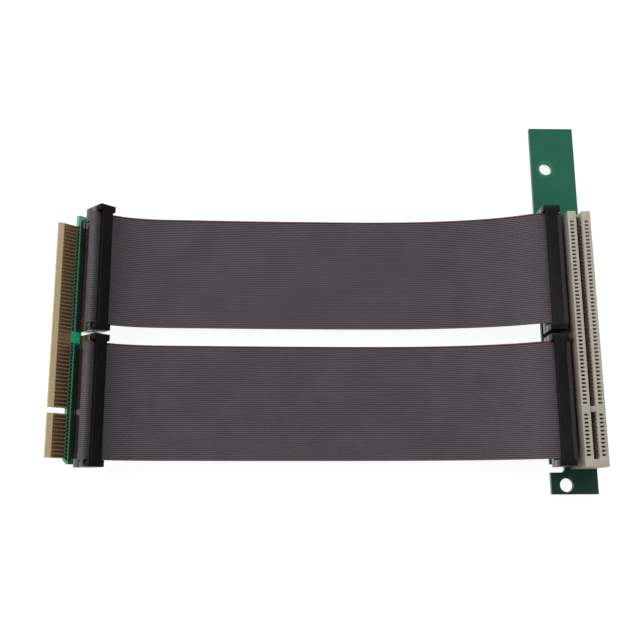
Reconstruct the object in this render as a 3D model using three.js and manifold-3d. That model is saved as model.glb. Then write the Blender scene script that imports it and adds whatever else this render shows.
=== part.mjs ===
// A flexible extender for a 62-position add-in card slot: a male edge card and a slot board
// joined by two flat ribbon cables. Millimetres, +Z up, the object as it lies on a table.
import * as THREE from "three";
import { mergeVertices } from "three/addons/utils/BufferGeometryUtils.js";
import Module from "manifold-3d";

const wasm = await Module();
wasm.setup();

// Contact pattern shared by the card edge and the slot
const contactPitch = 1.27;
const positions = 62;
const keyPositions = [50, 51];

// Laminate and solder
const boardThickness = 1.6;
const tailLength = 2.0;
const tailBase = 1.0;
const mateGap = 0.1;
const overrun = 1;

// Slot housing on the riser board
const slotEndMargin = 3.05;
const slotHeight = 15.1;
const slotInnerWall = 0.77;
const slotOuterWall = 0.71;
const trenchWidth = 2.0;
const trenchDepth = 9.5;
const slotHeadWall = 0.8;
const slotHeadWallDrop = 3.8;
const slotFootWall = 2.36;
const keyBarLength = 1.7;
const keyBarDrop = 0.6;
const windowWidth = 1.4;
const windowLength = 0.66;
const windowDepth = 6.0;
const windowLip = 1.4;
const slotTailOffset = 2.54;

// Riser board outline, measured from the middle of the slot
const riserInnerMargin = 1.025;
const riserOuterMargin = 1.2;
const longTabReach = 34.33;
const shortTabReach = 8.2;
const longTabHoleInset = 15.5;
const shortTabHoleInset = 3.0;
const tabHoleOffset = 5.45;
const tabHoleDiameter = 4.5;
const reliefSlotWidth = 2.7;
const reliefSlotLength = 4.85;
const reliefSlotClear = 1.0;
const arcSteps = 24;

// Male edge card, measured from the root of its tongue
const cardTilt = 45;
const tongueMargin = 0.08;
const tongueDepth = 6.8;
const tongueBevelLength = 1.8;
const tongueBevelDepth = 0.5;
const keyNotchWidth = 1.9;
const cardShoulder = 0.5;
const cardBackMargin = 0.545;
const cardHeadMargin = 1.665;
const cardFootMargin = 0.935;
const cardFootChamfer = 1.0;
const padRootGap = 0.2;
const padWidth = 0.92;
const padThickness = 0.05;

// Cable sockets, their pin headers and the flat cable
const wires = 60;
const wirePitch = 0.635;
const cableThickness = 0.8;
const pinSize = 0.4;
const headerWidth = 2.4;
const headerHeight = 5.56;
const headerWaistDepth = 0.25;
const headerWaistBottom = 2.5;
const headerWaistHeight = 0.9;
const socketEndWall = 2.325;
const socketWidth = 5.66;
const socketBodyHeight = 3.3;
const socketRoof = 0.9;
const coverThickness = 2.0;
const reliefBarHeight = 1.65;
const reliefBarInset = 0.95;
const reliefBarOuterInset = 1.05;
const foldCorner = 0.75;
const foldProud = 1.25;
const earLength = 4.7;
const earDepth = 0.8;
const latchWidth = 2.4;
const latchThickness = 0.75;
const latchHeight = 1.5;
const cableSideGap = 0.2;

// Where the sockets and the two boards lie
const socketGap = 1.4;
const riserSocketClear = 2.17;
const riserSocketShift = 1.35;
const cardSocketOverhang = 0.21;
const cardSocketShift = 0.76;
const boardSpacing = 169.9;
const cardShift = 1.33;

// Free span of the cable: share of the span from the card, height of its middle above the table
const spanRoute = [
  [0.033, 7.6], [0.085, 5.85], [0.2, 5.1], [0.34, 4.55], [0.46, 4.4], [0.58, 4.4],
  [0.68, 4.95], [0.77, 6.3], [0.86, 8.75], [0.93, 11.9], [0.98, 15.2],
];

// Sizes that follow from the ones above
const cableWidth = wires * wirePitch;
const pinsPerRow = wires / 2;
const pinPitch = 2 * wirePitch;
const headerLength = pinsPerRow * pinPitch;
const socketLength = cableWidth + 2 * socketEndWall;
const socketStep = (socketLength + socketGap) / 2;
const slotTop = (positions * contactPitch) / 2 + slotEndMargin;
const windowRowOffset = trenchWidth / 2 + slotInnerWall + windowWidth / 2;
const slotHalfWidth = windowRowOffset + windowWidth / 2 + slotOuterWall;
const riserSocketOffset = slotHalfWidth + riserSocketClear + socketWidth / 2;
const riserInnerEdge = riserSocketOffset + pinPitch / 2 + riserInnerMargin;
const riserOuterEdge = slotHalfWidth + riserOuterMargin;
const riserHead = Math.max(slotTop, riserSocketShift + socketStep + socketLength / 2) + longTabReach;
const riserFoot = Math.min(-slotTop, riserSocketShift - socketStep - socketLength / 2) - shortTabReach;
const tongueTop = (positions * contactPitch) / 2 + tongueMargin;
const cardSocketOffset = socketWidth / 2 - cardSocketOverhang;
const cardBackEdge = cardSocketOffset + pinPitch / 2 + cardBackMargin;
const pinReach = socketBodyHeight - socketRoof;
const socketBase = headerHeight + mateGap;
const bodyTop = socketBase + socketBodyHeight;
const lowerRun = bodyTop + mateGap + cableThickness / 2;
const coverBase = bodyTop + 2 * mateGap + cableThickness;
const coverTop = coverBase + coverThickness;
const upperRun = coverTop + mateGap + cableThickness / 2;
const reliefBase = coverTop + 2 * mateGap + cableThickness;
const reliefTop = reliefBase + reliefBarHeight;
const foldCentre = socketWidth / 2 + foldProud - cableThickness / 2 - foldCorner;
const coverCorner = foldCorner - cableThickness / 2 - mateGap;
const riserTop = boardThickness + tailLength;
const tilt = THREE.MathUtils.degToRad(cardTilt);
const lowestPin = cardSocketOffset + pinPitch / 2;
const cardTop = lowestPin * Math.sin(tilt) + (boardThickness + tailLength) * Math.cos(tilt);

const colours = {
  riser: { color: 0x1f5c43, roughness: 0.45, metalness: 0.0 },
  card: { color: 0x2a6a4c, roughness: 0.45, metalness: 0.0 },
  housing: { color: 0xb9b1a3, roughness: 0.55, metalness: 0.0 },
  black: { color: 0x1c1c1d, roughness: 0.35, metalness: 0.0 },
  cable: { color: 0x4a474a, roughness: 0.6, metalness: 0.0 },
};

// Closed geometry to solid and back
function solid(geometry) {
  const bare = geometry.clone();
  bare.deleteAttribute("normal");
  bare.deleteAttribute("uv");
  const merged = mergeVertices(bare, 1e-4);
  return new wasm.Manifold(new wasm.Mesh({
    numProp: 3,
    vertProperties: merged.attributes.position.array,
    triVerts: new Uint32Array(merged.index.array),
  }));
}

function geometryOf(body) {
  const mesh = body.getMesh();
  const geometry = new THREE.BufferGeometry();
  geometry.setAttribute("position", new THREE.BufferAttribute(mesh.vertProperties, 3));
  geometry.setIndex(new THREE.BufferAttribute(mesh.triVerts, 1));
  geometry.computeVertexNormals();
  return geometry;
}

function block(x0, x1, y0, y1, z0, z1) {
  const size = [Math.abs(x1 - x0), Math.abs(y1 - y0), Math.abs(z1 - z0)];
  const geometry = new THREE.BoxGeometry(...size);
  geometry.translate((x0 + x1) / 2, (y0 + y1) / 2, (z0 + z1) / 2);
  return solid(geometry);
}

// A prism whose outline lies in the X-Z plane and which runs along Y from y0 to y1
function prism(outline, y0, y1) {
  const geometry = new THREE.ExtrudeGeometry(new THREE.Shape(outline), {
    depth: y1 - y0,
    bevelEnabled: false,
    curveSegments: arcSteps,
  });
  geometry.rotateX(Math.PI / 2);
  geometry.translate(0, y1, 0);
  return solid(geometry);
}

// A board cut from laminate: outline in the X-Y plane, top face at z = 0
function board(shape) {
  const geometry = new THREE.ExtrudeGeometry(shape, {
    depth: boardThickness,
    bevelEnabled: false,
    curveSegments: arcSteps,
  });
  geometry.translate(0, 0, -boardThickness);
  return solid(geometry);
}

// A soldered pin tail under a board: a four-sided cone, point down
function tail(x, y) {
  const geometry = new THREE.ConeGeometry(tailBase / Math.SQRT2, tailLength, 4);
  geometry.rotateY(Math.PI / 4);
  geometry.rotateX(-Math.PI / 2);
  geometry.translate(x, y, -boardThickness - tailLength / 2);
  return solid(geometry);
}

function part(name, body, look) {
  const mesh = new THREE.Mesh(geometryOf(body), new THREE.MeshStandardMaterial(look));
  mesh.name = name;
  return mesh;
}

// Middle of contact number k along the slot or the tongue, 1 at the head end
function contactY(k) {
  return ((positions + 1) / 2 - k) * contactPitch;
}

function contactNumbers() {
  const all = Array.from({ length: positions }, (unused, i) => i + 1);
  return all.filter((k) => !keyPositions.includes(k));
}

const keyY = (contactY(keyPositions[0]) + contactY(keyPositions[1])) / 2;

// Pin places of one header: [x, y] pairs around its middle
function pinPlaces(x, y) {
  const places = [];
  for (const row of [-0.5, 0.5]) {
    for (let i = 0; i < pinsPerRow; i++) {
      places.push([x + row * pinPitch, y + (i - (pinsPerRow - 1) / 2) * pinPitch]);
    }
  }
  return places;
}

// The two sockets of a board, one towards the head end and one towards the foot
function socketPlaces(shift) {
  return [["head", shift + socketStep], ["foot", shift - socketStep]];
}

// Slot board: laminate with two bolt tabs, a relief slot and the solder tails beneath
function riserBoard() {
  const reliefHead = riserSocketShift - socketStep - headerLength / 2 - reliefSlotClear;
  const shape = new THREE.Shape();
  const radius = reliefSlotWidth / 2;
  const reliefEnd = -riserInnerEdge + reliefSlotLength - radius;
  shape.moveTo(-riserInnerEdge, riserFoot);
  shape.lineTo(riserOuterEdge, riserFoot);
  shape.lineTo(riserOuterEdge, riserHead);
  shape.lineTo(-riserInnerEdge, riserHead);
  shape.lineTo(-riserInnerEdge, reliefHead);
  shape.lineTo(reliefEnd, reliefHead);
  shape.absarc(reliefEnd, reliefHead - radius, radius, Math.PI / 2, -Math.PI / 2, true);
  shape.lineTo(-riserInnerEdge, reliefHead - reliefSlotWidth);
  for (const y of [riserHead - longTabHoleInset, riserFoot + shortTabHoleInset]) {
    const hole = new THREE.Path();
    hole.absarc(-tabHoleOffset, y, tabHoleDiameter / 2, 0, 2 * Math.PI, false);
    shape.holes.push(hole);
  }
  const tails = [];
  for (const k of contactNumbers()) {
    tails.push(tail(-slotTailOffset, contactY(k)), tail(slotTailOffset, contactY(k)));
  }
  for (const [, y] of socketPlaces(riserSocketShift)) {
    for (const place of pinPlaces(-riserSocketOffset, y)) tails.push(tail(...place));
  }
  return wasm.Manifold.union([board(shape), ...tails]);
}

// Slot housing: card trench with its key bar, and a row of contact windows in each ridge that
// open into the trench below a lip
function slotHousing() {
  const body = block(-slotHalfWidth, slotHalfWidth, -slotTop, slotTop, mateGap, slotHeight);
  const half = trenchWidth / 2;
  const floor = slotHeight - trenchDepth;
  const over = slotHeight + overrun;
  const foot = -slotTop + slotFootWall;
  const head = slotTop - slotHeadWall;
  const barFoot = keyY - keyBarLength / 2;
  const barHead = keyY + keyBarLength / 2;
  const cuts = [
    block(-half, half, foot, barFoot, floor, over),
    block(-half, half, barHead, head, floor, over),
    block(-half, half, foot, head, slotHeight - keyBarDrop, over),
    block(-half, half, head - half, slotTop + overrun, slotHeight - slotHeadWallDrop, over),
  ];
  for (const side of [-1, 1]) {
    const x = side * windowRowOffset;
    for (const k of contactNumbers()) {
      const y = contactY(k);
      const ends = [y - windowLength / 2, y + windowLength / 2];
      const bottom = slotHeight - windowDepth;
      cuts.push(block(x - windowWidth / 2, x + windowWidth / 2, ...ends, bottom, over));
      cuts.push(block(0, x, ...ends, bottom, slotHeight - windowLip));
    }
  }
  return body.subtract(wasm.Manifold.union(cuts));
}

// Male card: laminate with a keyed, bevelled tongue, contact pads on both faces and solder tails
function edgeCard() {
  const half = tongueTop;
  const spread = socketStep + headerLength / 2;
  const head = Math.max(half + cardShoulder, cardSocketShift + spread + cardHeadMargin);
  const foot = Math.min(-half - cardShoulder, cardSocketShift - spread - cardFootMargin);
  const shape = new THREE.Shape();
  shape.moveTo(-tongueDepth, half);
  shape.lineTo(-tongueDepth, keyY + keyNotchWidth / 2);
  shape.lineTo(0, keyY + keyNotchWidth / 2);
  shape.lineTo(0, keyY - keyNotchWidth / 2);
  shape.lineTo(-tongueDepth, keyY - keyNotchWidth / 2);
  shape.lineTo(-tongueDepth, -half);
  shape.lineTo(0, -half);
  shape.lineTo(cardShoulder, foot + cardFootChamfer);
  shape.lineTo(cardShoulder + cardFootChamfer, foot);
  shape.lineTo(cardBackEdge, foot);
  shape.lineTo(cardBackEdge, head);
  shape.lineTo(cardShoulder, head);
  shape.lineTo(cardShoulder, half);
  const joins = [board(shape)];
  const padTip = -tongueDepth + tongueBevelLength + mateGap;
  for (const k of contactNumbers()) {
    const y0 = contactY(k) - padWidth / 2;
    const y1 = contactY(k) + padWidth / 2;
    const buried = boardThickness / 4;
    joins.push(block(padTip, -padRootGap, y0, y1, -buried, padThickness));
    joins.push(block(padTip, -padRootGap, y0, y1,
      -boardThickness - padThickness, buried - boardThickness));
  }
  for (const [, y] of socketPlaces(cardSocketShift)) {
    for (const place of pinPlaces(cardSocketOffset, y)) joins.push(tail(...place));
  }
  const tip = -tongueDepth;
  const bevels = [[0, 1], [-boardThickness, -1]].map(([face, up]) => prism([
    new THREE.Vector2(tip - overrun, face + up),
    new THREE.Vector2(tip - overrun, face - up * tongueBevelDepth),
    new THREE.Vector2(tip, face - up * tongueBevelDepth),
    new THREE.Vector2(tip + tongueBevelLength, face),
    new THREE.Vector2(tip + tongueBevelLength, face + up),
  ], -half - overrun, half + overrun));
  return wasm.Manifold.union(joins).subtract(wasm.Manifold.union(bevels));
}

// Pin header: a tall insulator with a waist, and two rows of square pins standing out of it
function pinHeader(x, y) {
  const half = headerWidth / 2;
  const ends = [y - headerLength / 2, y + headerLength / 2];
  const waistTop = headerWaistBottom + headerWaistHeight;
  const joins = [block(x - half, x + half, ...ends, mateGap, headerHeight)];
  for (const [px, py] of pinPlaces(x, y)) {
    joins.push(block(px - pinSize / 2, px + pinSize / 2, py - pinSize / 2, py + pinSize / 2,
      waistTop, headerHeight + pinReach));
  }
  const cuts = [-1, 1].map((side) => block(x + side * (half - headerWaistDepth),
    x + side * (half + overrun), ends[0] - overrun, ends[1] + overrun,
    headerWaistBottom, waistTop));
  return wasm.Manifold.union(joins).subtract(wasm.Manifold.union(cuts));
}

// Socket body: pushed over the pins, its outer face hollowed between two ears, with a latch
// post standing up at each end
function socketBody(x, y, outer) {
  const half = socketWidth / 2;
  const end = socketLength / 2;
  const joins = [block(x - half, x + half, y - end, y + end, socketBase, bodyTop)];
  for (const way of [-1, 1]) {
    joins.push(block(x - latchWidth / 2, x + latchWidth / 2,
      y + way * (end - latchThickness), y + way * end, socketBase, bodyTop + latchHeight));
  }
  const slots = [-0.5, 0.5].map((row) => block(
    x + row * pinPitch - pinSize / 2 - mateGap, x + row * pinPitch + pinSize / 2 + mateGap,
    y - headerLength / 2, y + headerLength / 2,
    socketBase - overrun, bodyTop - socketRoof));
  const hollow = block(x + outer * (half - earDepth), x + outer * (half + overrun),
    y - end + earLength, y + end - earLength, socketBase - overrun, bodyTop + overrun);
  return wasm.Manifold.union(joins).subtract(wasm.Manifold.union([...slots, hollow]));
}

// Cable cover: the cable folds round its outer edge, between two full-width end blocks
function cableCover(x, y, outer) {
  const half = socketWidth / 2;
  const end = socketLength / 2;
  const inside = cableWidth / 2 + cableSideGap;
  const outline = new THREE.Shape();
  outline.moveTo(-half, coverBase);
  outline.absarc(foldCentre, coverBase + coverCorner, coverCorner, -Math.PI / 2, 0, false);
  outline.absarc(foldCentre, coverTop - coverCorner, coverCorner, 0, Math.PI / 2, false);
  outline.lineTo(-half, coverTop);
  const points = outline.getPoints(arcSteps / 3)
    .map((p) => new THREE.Vector2(x + outer * p.x, p.y));
  const joins = [prism(points, y - end + latchThickness, y + end - latchThickness)];
  const cuts = [];
  for (const way of [-1, 1]) {
    joins.push(block(x - half, x + half, y + way * inside, y + way * end,
      bodyTop + mateGap, coverTop));
    cuts.push(block(x - latchWidth / 2 - mateGap, x + latchWidth / 2 + mateGap,
      y + way * (end - latchThickness - mateGap), y + way * (end + overrun),
      bodyTop - overrun, bodyTop + latchHeight + mateGap));
  }
  return wasm.Manifold.union(joins).subtract(wasm.Manifold.union(cuts));
}

// Strain relief: a bar across the folded cable with a wider block at each end
function strainRelief(x, y, outer) {
  const half = socketWidth / 2;
  const end = socketLength / 2;
  const inside = cableWidth / 2 + cableSideGap;
  const joins = [block(x + outer * (half - reliefBarOuterInset), x - outer * (half - reliefBarInset),
    y - end, y + end, reliefBase, reliefTop)];
  for (const way of [-1, 1]) {
    joins.push(block(x - half, x + half, y + way * inside, y + way * end,
      coverTop + mateGap, reliefTop));
  }
  return wasm.Manifold.union(joins);
}

// Middle line of the cable inside one socket, from its cut end round the fold to its exit
function foldLine(x, outer) {
  const half = socketWidth / 2;
  const line = [new THREE.Vector2(-half + mateGap, lowerRun)];
  const turns = arcSteps / 4;
  for (const [centre, first] of [[lowerRun + foldCorner, -Math.PI / 2], [upperRun - foldCorner, 0]]) {
    for (let i = 0; i <= turns; i++) {
      const angle = first + ((Math.PI / 2) * i) / turns;
      line.push(new THREE.Vector2(foldCentre + foldCorner * Math.cos(angle),
        centre + foldCorner * Math.sin(angle)));
    }
  }
  line.push(new THREE.Vector2(-half, upperRun));
  return line.map((p) => new THREE.Vector2(x + outer * p.x, p.y));
}

// Middle line of the whole cable in the X-Z plane, from the card's socket to the slot board's
function cableLine() {
  const fromCard = foldLine(cardSocketOffset, -1).map((p) => new THREE.Vector2(
    -boardSpacing + p.x * Math.cos(tilt) + p.y * Math.sin(tilt),
    cardTop - p.x * Math.sin(tilt) + p.y * Math.cos(tilt)));
  const toRiser = foldLine(-riserSocketOffset, 1)
    .map((p) => new THREE.Vector2(p.x, riserTop + p.y)).reverse();
  const start = fromCard[fromCard.length - 1];
  const finish = toRiser[0];
  const knots = spanRoute.map(([share, height]) => new THREE.Vector3(
    start.x + share * (finish.x - start.x), height, 0));
  const span = new THREE.CatmullRomCurve3([
    new THREE.Vector3(start.x, start.y, 0), ...knots, new THREE.Vector3(finish.x, finish.y, 0),
  ], false, "centripetal");
  const between = span.getPoints(2 * arcSteps).slice(1, -1)
    .map((p) => new THREE.Vector2(p.x, p.y));
  return [...fromCard, ...between, ...toRiser];
}

// Flat cable: its middle line thickened, then run across its width
function flatCable(riserY, cardY) {
  const line = cableLine();
  const sides = [[], []];
  line.forEach((p, i) => {
    const along = line[Math.min(i + 1, line.length - 1)].clone().sub(line[Math.max(i - 1, 0)]);
    const across = new THREE.Vector2(-along.y, along.x).setLength(cableThickness / 2);
    sides[0].push(p.clone().add(across));
    sides[1].push(p.clone().sub(across));
  });
  const geometry = new THREE.ExtrudeGeometry(new THREE.Shape([...sides[0], ...sides[1].reverse()]), {
    depth: cableWidth,
    bevelEnabled: false,
  });
  geometry.rotateX(Math.PI / 2);
  geometry.translate(0, riserY + cableWidth / 2, 0);
  const places = geometry.attributes.position;
  for (let i = 0; i < places.count; i++) {
    const share = THREE.MathUtils.clamp(-places.getX(i) / boardSpacing, 0, 1);
    places.setY(i, places.getY(i) + share * (cardY - riserY));
  }
  return solid(geometry);
}

// One socket with its header, as four parts of the board's group
function addSocket(group, name, x, y, outer) {
  group.add(part(name + "_pin_header", pinHeader(x, y), colours.black));
  group.add(part(name + "_socket_body", socketBody(x, y, outer), colours.black));
  group.add(part(name + "_cable_cover", cableCover(x, y, outer), colours.black));
  group.add(part(name + "_strain_relief", strainRelief(x, y, outer), colours.black));
}

const riser = new THREE.Group();
riser.position.z = riserTop;
riser.add(part("riser_board", riserBoard(), colours.riser));
riser.add(part("slot_housing", slotHousing(), colours.housing));
for (const [end, y] of socketPlaces(riserSocketShift)) {
  addSocket(riser, "riser_" + end, -riserSocketOffset, y, 1);
}

const card = new THREE.Group();
card.position.set(-boardSpacing, cardShift, cardTop);
card.rotation.y = tilt;
card.add(part("edge_card", edgeCard(), colours.card));
for (const [end, y] of socketPlaces(cardSocketShift)) {
  addSocket(card, "card_" + end, cardSocketOffset, y, -1);
}

const assembly = new THREE.Group();
assembly.add(riser, card);
for (const way of [1, -1]) {
  const name = way > 0 ? "ribbon_cable_head" : "ribbon_cable_foot";
  const riserY = riserSocketShift + way * socketStep;
  const cardY = cardShift + cardSocketShift + way * socketStep;
  assembly.add(part(name, flatCable(riserY, cardY), colours.cable));
}

// The origin is under the middle of the object's box, on the table
const extent = new THREE.Box3().setFromObject(assembly, true);
const middle = extent.getCenter(new THREE.Vector3());
assembly.position.set(-middle.x, -middle.y, -extent.min.z);

const root = new THREE.Group();
root.add(assembly);
export default root;
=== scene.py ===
import math

import bmesh
import bpy
from mathutils import Matrix, Vector


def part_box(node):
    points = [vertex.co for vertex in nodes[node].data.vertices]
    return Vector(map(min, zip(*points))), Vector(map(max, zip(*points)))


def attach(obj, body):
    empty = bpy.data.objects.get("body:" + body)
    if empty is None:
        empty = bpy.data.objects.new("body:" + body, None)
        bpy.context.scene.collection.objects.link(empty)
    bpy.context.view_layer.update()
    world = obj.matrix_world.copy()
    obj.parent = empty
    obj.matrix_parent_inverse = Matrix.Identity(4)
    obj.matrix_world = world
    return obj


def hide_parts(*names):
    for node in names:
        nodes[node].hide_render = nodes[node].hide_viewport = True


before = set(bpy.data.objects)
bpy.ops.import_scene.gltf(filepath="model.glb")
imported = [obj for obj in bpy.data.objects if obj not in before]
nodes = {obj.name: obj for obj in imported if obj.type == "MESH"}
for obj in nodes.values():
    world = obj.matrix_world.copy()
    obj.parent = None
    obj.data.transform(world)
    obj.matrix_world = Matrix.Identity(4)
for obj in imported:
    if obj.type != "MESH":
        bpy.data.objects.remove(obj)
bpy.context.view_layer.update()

mm = 0.001


# The camera looks down on the cables from a little in front of them, as the
# photographer did: 0.29 m above the table, with a standard lens.
camera_place = Vector((-12.447, -70.745, 293.18)) * mm
camera_right = Vector((0.99931, -0.00695, 0.03649))
camera_up = Vector((-0.00117, 0.97598, 0.21787))
bpy.ops.object.select_all(action="DESELECT")
bpy.ops.object.camera_add()
camera = bpy.context.object
camera.name = "table_camera"
camera.data.lens = 49.02
camera.data.clip_start = 0.01
camera_back = camera_right.cross(camera_up)
turn = Matrix((camera_right, camera_up, camera_back)).transposed().to_4x4()
camera.matrix_world = Matrix.Translation(camera_place) @ turn
bpy.context.scene.camera = camera
bpy.context.scene.view_settings.view_transform = "Standard"


# The two flat cables come first, since the boards only hold their ends. Each is sixty
# wires in one grey vinyl skin, folded over in a socket at both ends, with wire 1 dark red.
slot_low, slot_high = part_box("slot_housing")
slot_x = (slot_low.x + slot_high.x) / 2 / mm
slot_y = (slot_low.y + slot_high.y) / 2 / mm
riser_top = 3.6
board_spacing = 169.9
card_shift = 1.33
card_root_height = 4.847
card_place = Vector((slot_x - board_spacing, slot_y + card_shift, card_root_height))
card_tilt = math.radians(45)
wires = 60
wire_pitch = 0.635
wire_outline = [
    (-0.325, -0.2), (-0.15, -0.385), (0.15, -0.385), (0.325, -0.2),
    (0.325, 0.2), (0.15, 0.385), (-0.15, 0.385), (-0.325, 0.2),
]
fold_low, fold_high = 9.46, 12.46
fold_corner = 0.75
fold_centre = 2.93
fold_steps = 6
socket_half = 2.83
cut_back = 0.1
riser_socket_x = -8.88
card_socket_x = 2.62
span_route = [
    (0.033, 7.6), (0.085, 5.85), (0.2, 5.1), (0.34, 4.55), (0.46, 4.4), (0.58, 4.4),
    (0.68, 4.95), (0.77, 6.3), (0.86, 8.75), (0.93, 11.9), (0.98, 15.2),
]
span_steps = 6
riser_sockets_y = 1.35
card_sockets_y = 2.09
socket_step = 22.075
ribbons = {
    "ribbon_cable_head": (riser_sockets_y + socket_step, card_sockets_y + socket_step),
    "ribbon_cable_foot": (riser_sockets_y - socket_step, card_sockets_y - socket_step),
}
wire_smooth_angle = math.radians(62)


def fold_line(centre, outer):
    """The middle line of a cable inside one socket, from its cut end to its exit."""
    line = [(cut_back - socket_half, fold_low)]
    for middle, first in ((fold_low + fold_corner, -math.pi / 2), (fold_high - fold_corner, 0)):
        for i in range(fold_steps + 1):
            angle = first + math.pi / 2 * i / fold_steps
            line.append((fold_centre + fold_corner * math.cos(angle),
                         middle + fold_corner * math.sin(angle)))
    line.append((-socket_half, fold_high))
    return [(centre + outer * x, z) for x, z in line]


def smooth_span(knots, steps):
    """Points of a centripetal curve through the knots, the knots among them."""
    ends = [2 * knots[0] - knots[1], *knots, 2 * knots[-1] - knots[-2]]
    points = []
    for a, b, c, d in zip(ends, ends[1:], ends[2:], ends[3:]):
        before, here, after = ((q - p).length ** 0.5 for p, q in ((a, b), (b, c), (c, d)))
        start = ((b - a) / before - (c - a) / (before + here) + (c - b) / here) * here
        finish = ((c - b) / here - (d - b) / (here + after) + (d - c) / after) * here
        for i in range(steps):
            t = i / steps
            points.append(
                b * (2 * t**3 - 3 * t**2 + 1) + start * (t**3 - 2 * t**2 + t)
                + c * (3 * t**2 - 2 * t**3) + finish * (t**3 - t**2)
            )
    return points


def cable_line():
    """The middle line of a whole cable in the X-Z plane, from the card to the slot board."""
    cos, sin = math.cos(card_tilt), math.sin(card_tilt)
    from_card = [
        Vector((card_place.x + x * cos + z * sin, card_place.z - x * sin + z * cos))
        for x, z in fold_line(card_socket_x, -1)
    ]
    to_riser = [Vector((slot_x + x, riser_top + z)) for x, z in fold_line(riser_socket_x, 1)]
    to_riser.reverse()
    start, finish = from_card[-1], to_riser[0]
    middle = [Vector((start.x + share * (finish.x - start.x), z)) for share, z in span_route]
    span = smooth_span([start, *middle, finish], span_steps)
    return from_card + span[1:] + to_riser


def wire_along(name, line, riser_y, card_y):
    """One wire: its outline at the cut end, extruded from point to point of the line."""
    places = []
    for i, point in enumerate(line):
        along = (line[min(i + 1, len(line) - 1)] - line[max(i - 1, 0)]).normalized()
        share = min(max((slot_x - point.x) / board_spacing, 0), 1)
        side = slot_y + riser_y + share * (card_y - riser_y)
        place = Matrix((
            (along.x, 0, -along.y, point.x),
            (0, 1, 0, side),
            (along.y, 0, along.x, point.y),
            (0, 0, 0, 1),
        ))
        places.append(place)
    bpy.ops.object.select_all(action="DESELECT")
    bpy.ops.mesh.primitive_circle_add(vertices=len(wire_outline), radius=1, fill_type="NGON")
    wire = bpy.context.object
    wire.name = name
    for vertex, (y, z) in zip(wire.data.vertices, wire_outline):
        vertex.co = places[0] @ Vector((0, y, z))
    bpy.ops.object.mode_set(mode="EDIT")
    bpy.ops.mesh.select_all(action="SELECT")
    for before, after in zip(places, places[1:]):
        bpy.ops.mesh.extrude_region_move()
        edited = bmesh.from_edit_mesh(wire.data)
        end = [vertex for vertex in edited.verts if vertex.select]
        bmesh.ops.transform(edited, matrix=after @ before.inverted(), verts=end)
    bpy.ops.mesh.select_all(action="SELECT")
    bpy.ops.transform.resize(value=(mm, mm, mm), center_override=(0, 0, 0))
    bpy.ops.mesh.normals_make_consistent(inside=False)
    bpy.ops.object.mode_set(mode="OBJECT")
    bpy.ops.object.shade_smooth_by_angle(angle=wire_smooth_angle)
    return wire


def paint(red, green, blue):
    """A colour as it looks on screen, 0 to 255, in the linear values a shader takes."""
    values = [v / 255 for v in (red, green, blue)]
    return [v / 12.92 if v < 0.04045 else ((v + 0.055) / 1.055) ** 2.4 for v in values] + [1]


# A fine tooth and a soft unevenness lie on every moulded or coated surface here. One node
# group makes both, at scales that each material sets for itself.
tooth_height = 0.00005
patch_low, patch_high = 0.3, 0.7
grain = bpy.data.node_groups.new("surface_grain", "ShaderNodeTree")
grain_in = grain.nodes.new("NodeGroupInput")
grain_out = grain.nodes.new("NodeGroupOutput")
grain_place = grain.nodes.new("ShaderNodeTexCoord")
for effect, usual_scale, detail in (("Tooth", 4000, 3), ("Patch", 250, 2)):
    scale = grain.interface.new_socket(effect + " scale", in_out="INPUT",
                                       socket_type="NodeSocketFloat")
    scale.default_value = usual_scale
    grain.interface.new_socket(effect, in_out="OUTPUT", socket_type="NodeSocketFloat")
    noise = grain.nodes.new("ShaderNodeTexNoise")
    noise.inputs["Detail"].default_value = detail
    grain.links.new(grain_place.outputs["Object"], noise.inputs["Vector"])
    grain.links.new(grain_in.outputs[effect + " scale"], noise.inputs["Scale"])
    grain.links.new(noise.outputs["Fac"], grain_out.inputs[effect])


def new_finish(name, roughness, metallic=0.0):
    """A material with its Principled shader ready to wire up."""
    material = bpy.data.materials.new(name)
    material.use_nodes = True
    shader = material.node_tree.nodes["Principled BSDF"]
    shader.inputs["Roughness"].default_value = roughness
    shader.inputs["Metallic"].default_value = metallic
    return material, material.node_tree, shader


def add_grain(tree, shader, tooth_scale, patch_scale, depth):
    """Places the grain group, bumps the surface with its tooth and returns the group node."""
    group = tree.nodes.new("ShaderNodeGroup")
    group.node_tree = grain
    group.inputs["Tooth scale"].default_value = tooth_scale
    group.inputs["Patch scale"].default_value = patch_scale
    bump = tree.nodes.new("ShaderNodeBump")
    bump.inputs["Strength"].default_value = depth
    bump.inputs["Distance"].default_value = tooth_height
    tree.links.new(group.outputs["Tooth"], bump.inputs["Height"])
    tree.links.new(bump.outputs["Normal"], shader.inputs["Normal"])
    return group


def blend_colours(tree, factor, low, high):
    """A Mix node between two colours or colour sockets, by a factor socket."""
    mix = tree.nodes.new("ShaderNodeMix")
    mix.data_type = "RGBA"
    tree.links.new(factor, mix.inputs["Factor"])
    for socket, value in (("A", low), ("B", high)):
        slot = next(s for s in mix.inputs if s.name == socket and s.type == "RGBA")
        if isinstance(value, bpy.types.NodeSocket):
            tree.links.new(value, slot)
        else:
            slot.default_value = value
    return next(s for s in mix.outputs if s.type == "RGBA")


def spread_values(tree, value, low, high, to_low, to_high):
    """A Map Range node, from low-high to to_low-to_high."""
    spread = tree.nodes.new("ShaderNodeMapRange")
    tree.links.new(value, spread.inputs["Value"])
    for socket, number in zip(("From Min", "From Max", "To Min", "To Max"),
                              (low, high, to_low, to_high)):
        spread.inputs[socket].default_value = number
    return spread.outputs["Result"]


def mottle(tree, group, low, high):
    """The grain's soft unevenness as a value that drifts from low to high."""
    return spread_values(tree, group.outputs["Patch"], patch_low, patch_high, low, high)


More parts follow.
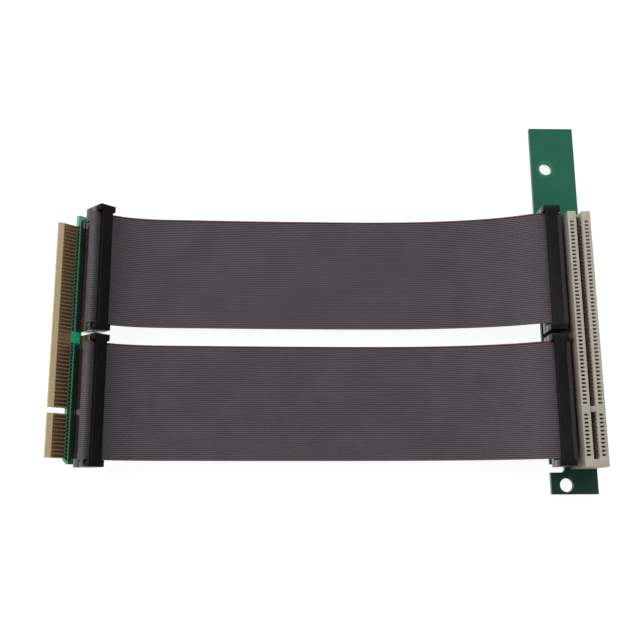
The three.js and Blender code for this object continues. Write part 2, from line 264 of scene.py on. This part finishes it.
def vinyl(name, dark, light):
    """Cable vinyl: satin, with a fine tooth and a slight change of shade along it."""
    material, tree, shader = new_finish(name, roughness=0.5)
    group = add_grain(tree, shader, tooth_scale=3000, patch_scale=120, depth=0.25)
    colour = blend_colours(tree, mottle(tree, group, 0, 1), dark, light)
    tree.links.new(colour, shader.inputs["Base Color"])
    tree.links.new(mottle(tree, group, low=0.45, high=0.58), shader.inputs["Roughness"])
    return material


grey_vinyl = vinyl("grey_vinyl", paint(68, 62, 67), paint(75, 69, 74))
red_vinyl = vinyl("red_vinyl", paint(74, 24, 36), paint(86, 30, 42))
cable_path = cable_line()
edge = (wires - 1) / 2 * wire_pitch
for cad_node, (riser_y, card_y) in ribbons.items():
    first = wire_along(cad_node + "_wire_1", cable_path, riser_y + edge, card_y + edge)
    first.data.materials.append(red_vinyl)
    rest = wire_along(cad_node + "_wires", cable_path,
                      riser_y + edge - wire_pitch, card_y + edge - wire_pitch)
    rest.data.materials.append(grey_vinyl)
    row = rest.modifiers.new("row", "ARRAY")
    row.count = wires - 1
    row.use_relative_offset = False
    row.use_constant_offset = True
    row.constant_offset_displace = (0, -wire_pitch * mm, 0)
    bpy.ops.object.modifier_apply(modifier=row.name)
    for piece in (first, rest):
        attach(piece, "root")
    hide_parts(cad_node)


# The four cable sockets are glossy black mouldings: a body pushed over the header's pins,
# a cover snapped on over the cable, and a satin strain relief snapped over the fold.
weld_distance = 0.000005
flat_angle = math.radians(2)
rounded_angle = math.radians(40)
mould_smooth_angle = math.radians(35)


def moulding(cad_node, radius, finish):
    """The CAD solid again, merged and with its edges rounded as a mould leaves them."""
    bpy.ops.object.select_all(action="DESELECT")
    piece = bpy.data.objects.new(cad_node + "_moulding", nodes[cad_node].data.copy())
    bpy.context.scene.collection.objects.link(piece)
    bpy.context.view_layer.objects.active = piece
    piece.select_set(True)
    bpy.ops.object.mode_set(mode="EDIT")
    bpy.ops.mesh.select_all(action="SELECT")
    bpy.ops.mesh.remove_doubles(threshold=weld_distance)
    bpy.ops.mesh.dissolve_limited(angle_limit=flat_angle)
    bpy.ops.object.mode_set(mode="OBJECT")
    bevel = piece.modifiers.new("rounded", "BEVEL")
    bevel.width = radius * mm
    bevel.segments = 2
    bevel.limit_method = "ANGLE"
    bevel.angle_limit = rounded_angle
    bevel.use_clamp_overlap = True
    bpy.ops.object.modifier_apply(modifier=bevel.name)
    bpy.ops.object.shade_smooth_by_angle(angle=mould_smooth_angle)
    piece.data.materials.clear()
    piece.data.materials.append(finish)
    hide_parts(cad_node)
    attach(piece, "root")


def black_plastic(name, dark, light, smooth, rough):
    """Moulded black plastic, with gloss that changes a little from place to place."""
    material, tree, shader = new_finish(name, roughness=smooth)
    group = add_grain(tree, shader, tooth_scale=2500, patch_scale=300, depth=0.06)
    colour = blend_colours(tree, mottle(tree, group, 0, 1), dark, light)
    tree.links.new(colour, shader.inputs["Base Color"])
    tree.links.new(mottle(tree, group, smooth, rough), shader.inputs["Roughness"])
    return material, shader


body_edge_radius = 0.12
relief_edge_radius = 0.14
glossy_black, shader = black_plastic("glossy_black_plastic", paint(14, 14, 15),
                                     paint(20, 20, 21), smooth=0.1, rough=0.18)
shader.inputs["IOR"].default_value = 1.6
satin_black, shader = black_plastic("satin_black_plastic", paint(12, 12, 13),
                                    paint(17, 17, 19), smooth=0.38, rough=0.48)
shader.inputs["Specular IOR Level"].default_value = 0.22
# The card's strain relief gets a darker copy of the satin black with weaker gloss: painted
# shade, so that its lit side stays as dark as its top.
shaded_relief_black, shader = black_plastic("deep_black_plastic", paint(7, 7, 8),
                                   paint(11, 11, 12), smooth=0.45, rough=0.55)
shader.inputs["Specular IOR Level"].default_value = 0.1
for board, relief_finish in (("riser", satin_black), ("card", shaded_relief_black)):
    for end in ("head", "foot"):
        for kind in ("socket_body", "cable_cover"):
            moulding(f"{board}_{end}_{kind}", body_edge_radius, glossy_black)
        moulding(f"{board}_{end}_strain_relief", relief_edge_radius, relief_finish)


# Each pin header is a black plastic bar soldered to its board, with two rows of thirty
# square gilt pins at 1.27 mm that stand up into the socket.
def board_place(tree, origin, tilt):
    """Object coordinates turned into a board's own millimetres, as X, Y and Z sockets."""
    place = tree.nodes.new("ShaderNodeTexCoord")
    mapping = tree.nodes.new("ShaderNodeMapping")
    mapping.vector_type = "TEXTURE"
    mapping.inputs["Location"].default_value = origin * mm
    mapping.inputs["Rotation"].default_value = (0, tilt, 0)
    mapping.inputs["Scale"].default_value = (mm, mm, mm)
    tree.links.new(place.outputs["Object"], mapping.inputs["Vector"])
    axes = tree.nodes.new("ShaderNodeSeparateXYZ")
    tree.links.new(mapping.outputs["Vector"], axes.inputs["Vector"])
    return axes.outputs["X"], axes.outputs["Y"], axes.outputs["Z"]


def reckon(tree, operation, *values):
    """A Math node over sockets and numbers."""
    node = tree.nodes.new("ShaderNodeMath")
    node.operation = operation
    for socket, value in zip(node.inputs, values):
        if isinstance(value, bpy.types.NodeSocket):
            tree.links.new(value, socket)
        else:
            socket.default_value = value
    return node.outputs[0]


riser_place = Vector((slot_x, slot_y, riser_top))
header_top = 5.56
pin_clearance = 0.02
for board, origin, tilt in (("riser", riser_place, 0), ("card", card_place, card_tilt)):
    header_finish, tree, shader = new_finish(board + "_header_plastic_and_gilt",
                                             roughness=0.12)
    height = board_place(tree, origin, tilt)[2]
    pin = reckon(tree, "GREATER_THAN", height, header_top + pin_clearance)
    group = add_grain(tree, shader, tooth_scale=2500, patch_scale=300, depth=0.1)
    black = blend_colours(tree, group.outputs["Patch"], paint(14, 14, 15), paint(26, 26, 27))
    tree.links.new(blend_colours(tree, pin, black, paint(214, 170, 96)),
                   shader.inputs["Base Color"])
    tree.links.new(pin, shader.inputs["Metallic"])
    for end in ("head", "foot"):
        node = nodes[f"{board}_{end}_pin_header"]
        node.data.materials.clear()
        node.data.materials.append(header_finish)


# The slot is a cream glass-filled moulding with a card trench. Its sixty-two places, less
# two for the key, each have a window on both sides with a gilt spring contact in it.
contact_pitch = 1.27
contact_places = 62
key_places = (50, 51)
slot_height = slot_high.z / mm - riser_top
slot_edge_radius = 0.08
painted_shade_x = -3.8
cream_plastic, tree, shader = new_finish("cream_moulded_plastic", roughness=0.5)
group = add_grain(tree, shader, tooth_scale=2200, patch_scale=180, depth=0.2)
cream = blend_colours(tree, mottle(tree, group, 0, 1), paint(168, 160, 148),
                      paint(178, 170, 158))
# The slot's side wall that faces the riser's sockets is painted a darker cream: painted shade,
# standing in for the sockets' shade on it.
across = board_place(tree, riser_place, 0)[0]
painted_shade_wall = reckon(tree, "LESS_THAN", across, painted_shade_x)
tree.links.new(blend_colours(tree, painted_shade_wall, cream, paint(134, 125, 120)),
               shader.inputs["Base Color"])
moulding("slot_housing", slot_edge_radius, cream_plastic)


def gilt(name, dark, light, metallic):
    """Gold-plated spring bronze, a little uneven."""
    material, tree, shader = new_finish(name, roughness=0.5, metallic=metallic)
    group = add_grain(tree, shader, tooth_scale=3000, patch_scale=500, depth=0.1)
    tree.links.new(blend_colours(tree, group.outputs["Patch"], dark, light),
                   shader.inputs["Base Color"])
    return material


# Both rows hold the same springs: the left row's gilt is painted darker, as painted shade, and
# the right row's lighter, as painted light.
shaded_gilt = gilt("dull_gilt_spring", paint(128, 108, 66), paint(158, 138, 92),
                 metallic=0.6)
lit_gilt = gilt("bright_gilt_spring", paint(172, 152, 110), paint(194, 176, 134),
                   metallic=0.3)
spring_line = [
    (3.04, -0.5), (3.04, -2.6), (3.04, -6.3), (2.8, -6.64), (2.4, -6.64), (2.1, -6.3),
    (1.6, -5.5), (1.05, -4.8), (0.74, -4.2), (0.76, -3.7), (1.05, -3.2), (1.3, -2.9),
]
spring_width = 0.5
spring_gauge = 0.14
spring_smooth_angle = math.radians(50)
same_place = 1e-7


def spring(name, side):
    """One bent leaf in mid slot: its shank as a plane, extruded round the bends, thickened."""
    bpy.ops.object.select_all(action="DESELECT")
    bpy.ops.mesh.primitive_plane_add(size=1)
    leaf = bpy.context.object
    leaf.name = name
    bpy.ops.object.mode_set(mode="EDIT")
    bpy.ops.mesh.select_mode(type="EDGE")
    edited = bmesh.from_edit_mesh(leaf.data)
    for vertex in edited.verts:
        x, z = spring_line[0] if vertex.co.x < 0 else spring_line[1]
        y = math.copysign(spring_width / 2, vertex.co.y)
        vertex.co = Vector((slot_x + side * x, slot_y + y, riser_top + slot_height + z)) * mm
    bpy.ops.mesh.select_all(action="DESELECT")
    for step in range(1, len(spring_line) - 1):
        edited = bmesh.from_edit_mesh(leaf.data)
        here, there = spring_line[step], spring_line[step + 1]
        end = Vector((slot_x + side * here[0], 0, riser_top + slot_height + here[1])) * mm
        for edge in edited.edges:
            middle = (edge.verts[0].co + edge.verts[1].co) / 2
            edge.select_set(abs(middle.x - end.x) < same_place
                            and abs(middle.z - end.z) < same_place)
        bmesh.update_edit_mesh(leaf.data)
        move = Vector((side * (there[0] - here[0]), 0, there[1] - here[1])) * mm
        bpy.ops.mesh.extrude_edges_move(TRANSFORM_OT_translate={"value": move})
    bpy.ops.mesh.select_mode(type="VERT")
    bpy.ops.object.mode_set(mode="OBJECT")
    gauge = leaf.modifiers.new("gauge", "SOLIDIFY")
    gauge.thickness = spring_gauge * mm
    gauge.offset = 0
    bpy.ops.object.modifier_apply(modifier=gauge.name)
    bpy.ops.object.shade_smooth_by_angle(angle=spring_smooth_angle)
    return leaf


for row, side, finish in (("left", -1, shaded_gilt), ("right", 1, lit_gilt)):
    leaf = spring(f"slot_contacts_{row}", side)
    leaf.data.materials.append(finish)
    shape = leaf.data.copy()
    joined = bmesh.new()
    for place in range(1, contact_places + 1):
        if place not in key_places:
            along = ((contact_places + 1) / 2 - place) * contact_pitch * mm
            copy = shape.copy()
            copy.transform(Matrix.Translation((0, along, 0)))
            joined.from_mesh(copy)
            bpy.data.meshes.remove(copy)
    bmesh.ops.recalc_face_normals(joined, faces=joined.faces)
    joined.to_mesh(leaf.data)
    joined.free()
    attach(leaf, "root")


# The slot board is glass-epoxy laminate under a dark green solder mask, lighter where the
# copper ring round the long tab's bolt hole lies, with the tinned tails of the pins beneath.
def ring_distance(tree, x, y, at):
    """How far a point of the board is from a hole's middle, in millimetres."""
    across = reckon(tree, "SUBTRACT", x, at[0])
    along = reckon(tree, "SUBTRACT", y, at[1])
    squares = reckon(tree, "ADD", reckon(tree, "MULTIPLY", across, across),
                     reckon(tree, "MULTIPLY", along, along))
    return reckon(tree, "SQRT", squares)


def between(tree, value, low, high):
    """1 where a value lies between two numbers, else 0."""
    return reckon(tree, "MULTIPLY", reckon(tree, "GREATER_THAN", value, low),
                  reckon(tree, "LESS_THAN", value, high))


def stripes(tree, value, pitch, share):
    """1 on bars of that share of the pitch, centred on a contact place, else 0."""
    phase = reckon(tree, "FRACT", reckon(tree, "DIVIDE", value, pitch))
    return reckon(tree, "LESS_THAN",
                  reckon(tree, "ABSOLUTE", reckon(tree, "SUBTRACT", phase, 0.5)), share / 2)


laminate_top = -0.02
laminate_bottom = -1.58
tail_top = -1.63
tin = paint(188, 190, 192)
long_tab_hole = (-5.45, 63.63)
ring_inner, ring_outer = 2.3, 3.3
short_tab_head = -42.0
traces_foot, traces_head = -39.4, 40.6
board_finish, tree, shader = new_finish("dark_green_board", roughness=0.38)
shader.inputs["Specular IOR Level"].default_value = 0.2
x, y, z = board_place(tree, riser_place, 0)
group = add_grain(tree, shader, tooth_scale=1800, patch_scale=90, depth=0.1)
mask_colour = blend_colours(tree, mottle(tree, group, 0, 1), paint(26, 92, 70),
                            paint(32, 99, 77))
ring = between(tree, ring_distance(tree, x, y, long_tab_hole), ring_inner, ring_outer)
mask_colour = blend_colours(tree, ring, mask_colour, paint(34, 112, 72))
short_tab = reckon(tree, "LESS_THAN", y, short_tab_head)
mask_colour = blend_colours(tree, short_tab, mask_colour, paint(29, 62, 50))
under = reckon(tree, "LESS_THAN", z, laminate_bottom)
trace = reckon(tree, "MULTIPLY", stripes(tree, y, contact_pitch, share=0.36),
               reckon(tree, "MULTIPLY", under, between(tree, y, traces_foot, traces_head)))
mask_colour = blend_colours(tree, trace, mask_colour, paint(52, 122, 84))
core = between(tree, z, laminate_bottom, laminate_top)
surface = blend_colours(tree, core, mask_colour, paint(70, 118, 90))
tail = reckon(tree, "LESS_THAN", z, tail_top)
tree.links.new(blend_colours(tree, tail, surface, tin), shader.inputs["Base Color"])
tree.links.new(tail, shader.inputs["Metallic"])
nodes["riser_board"].data.materials.clear()
nodes["riser_board"].data.materials.append(board_finish)


# The edge card is the same laminate under a brighter green mask. Its tongue is bare, tan
# laminate with gilt contact pads and a bevelled edge, and a pale line runs beside its header.
trace_slant = 0.3
pale_line_span = (0.95, 1.35)
lit_head_end_start = 40.2
lit_gap_span = (-1.2, 2.6)
tongue_root = 0.0
bevel_start = -5.02
pad_root = -0.1
tails_start = 0.1
laminate_middle = -0.8
pad_reach = 0.825
card_finish, tree, shader = new_finish("edge_card_laminate", roughness=0.4)
shader.inputs["Specular IOR Level"].default_value = 0.2
x, y, z = board_place(tree, card_place, card_tilt)
group = add_grain(tree, shader, tooth_scale=1800, patch_scale=160, depth=0.12)
patch = mottle(tree, group, 0, 1)
slant = reckon(tree, "ADD", y, reckon(tree, "MULTIPLY", x, trace_slant))
trace = stripes(tree, slant, contact_pitch, share=0.42)
mask_colour = blend_colours(tree, patch, paint(4, 66, 40), paint(8, 76, 48))
mask_colour = blend_colours(tree, trace, mask_colour, paint(40, 128, 92))
pale_line = between(tree, x, *pale_line_span)
mask_colour = blend_colours(tree, pale_line, mask_colour, paint(110, 178, 148))
# Towards the head end the same mask is painted much lighter: painted light, where the sockets'
# shade stops.
lit_head_end = reckon(tree, "GREATER_THAN", y, lit_head_end_start)
mask_colour = blend_colours(tree, lit_head_end, mask_colour, paint(86, 184, 154))
# In the narrow gap between the two sockets the same mask is painted bright green: painted light
# between the sockets.
lit_gap = between(tree, y, *lit_gap_span)
mask_colour = blend_colours(tree, lit_gap, mask_colour, paint(46, 208, 148))
tongue = reckon(tree, "LESS_THAN", x, tongue_root)
laminate = blend_colours(tree, patch, paint(150, 134, 104), paint(160, 145, 116))
surface = blend_colours(tree, tongue, mask_colour, laminate)
core = between(tree, z, laminate_bottom, laminate_top)
surface = blend_colours(tree, core, surface, paint(104, 168, 134))
tongue_bevel = reckon(tree, "LESS_THAN", x, bevel_start)
surface = blend_colours(tree, tongue_bevel, surface, paint(194, 177, 138))
from_middle = reckon(tree, "ABSOLUTE", reckon(tree, "SUBTRACT", z, laminate_middle))
raised = reckon(tree, "GREATER_THAN", from_middle, pad_reach)
pad = reckon(tree, "MULTIPLY", raised, reckon(tree, "LESS_THAN", x, pad_root))
surface = blend_colours(tree, pad, surface, paint(188, 148, 106))
tail = reckon(tree, "MULTIPLY", reckon(tree, "LESS_THAN", z, tail_top),
              reckon(tree, "GREATER_THAN", x, tails_start))
surface = blend_colours(tree, tail, surface, tin)
tree.links.new(surface, shader.inputs["Base Color"])
tree.links.new(reckon(tree, "MAXIMUM", pad, tail), shader.inputs["Metallic"])
nodes["edge_card"].data.materials.clear()
nodes["edge_card"].data.materials.append(card_finish)


# A wide white table top under the cables. It looks white to the camera and in polished
# surfaces, and keeps a soft shadow.
table_width = 6
table_glow = 0.92
seen_grey = (0.18, 0.18, 0.18, 1)
bounced_grey = (0.6, 0.6, 0.6, 1)
bpy.ops.object.select_all(action="DESELECT")
bpy.ops.mesh.primitive_plane_add(size=table_width)
table = bpy.context.object
table.name = "table_top"
table_finish = bpy.data.materials.new("white_table")
table_finish.use_nodes = True
tree = table_finish.node_tree
tree.nodes.clear()
matt = tree.nodes.new("ShaderNodeBsdfDiffuse")
matt.inputs["Color"].default_value = seen_grey
glow = tree.nodes.new("ShaderNodeEmission")
glow.inputs["Strength"].default_value = table_glow
total = tree.nodes.new("ShaderNodeAddShader")
plain = tree.nodes.new("ShaderNodeBsdfDiffuse")
plain.inputs["Color"].default_value = bounced_grey
rays = tree.nodes.new("ShaderNodeLightPath")
seen = reckon(tree, "MAXIMUM", rays.outputs["Is Camera Ray"], rays.outputs["Is Glossy Ray"])
choice = tree.nodes.new("ShaderNodeMixShader")
output = tree.nodes.new("ShaderNodeOutputMaterial")
tree.links.new(matt.outputs[0], total.inputs[0])
tree.links.new(glow.outputs[0], total.inputs[1])
tree.links.new(seen, choice.inputs["Fac"])
tree.links.new(plain.outputs[0], choice.inputs[1])
tree.links.new(total.outputs[0], choice.inputs[2])
tree.links.new(choice.outputs[0], output.inputs["Surface"])
table.data.materials.append(table_finish)


# Studio light: a room that is bright at the horizon and dimmer overhead, and two large
# soft lamps, so that the black mouldings keep their deep tops and bright sides. The
# camera sees the room as plain white.
low_sky, high_sky = 0.1, 0.75
horizon_light, overhead_light = 0.9, 0.32
lamp_size = 0.7
world = bpy.data.worlds.new("studio")
bpy.context.scene.world = world
world.use_nodes = True
tree = world.node_tree
sky = tree.nodes["Background"]
heading = tree.nodes.new("ShaderNodeTexCoord")
split = tree.nodes.new("ShaderNodeSeparateXYZ")
tree.links.new(heading.outputs["Generated"], split.inputs["Vector"])
level = spread_values(tree, split.outputs["Z"], low_sky, high_sky,
                      horizon_light, overhead_light)
rays = tree.nodes.new("ShaderNodeLightPath")
tree.links.new(reckon(tree, "MAXIMUM", level, rays.outputs["Is Camera Ray"]),
               sky.inputs["Strength"])
sky.inputs["Color"].default_value = (1, 1, 1, 1)
for name, place, watts in (
    ("lamp_left", (-0.75, 0.35, 0.75), 8.5),
    ("lamp_back", (0.25, 0.95, 0.8), 4.5),
):
    bpy.ops.object.light_add(type="AREA", location=place)
    lamp = bpy.context.object
    lamp.name = name
    lamp.data.energy = watts
    lamp.data.size = lamp_size
    lamp.rotation_euler = (-Vector(place)).to_track_quat("-Z", "Y").to_euler()
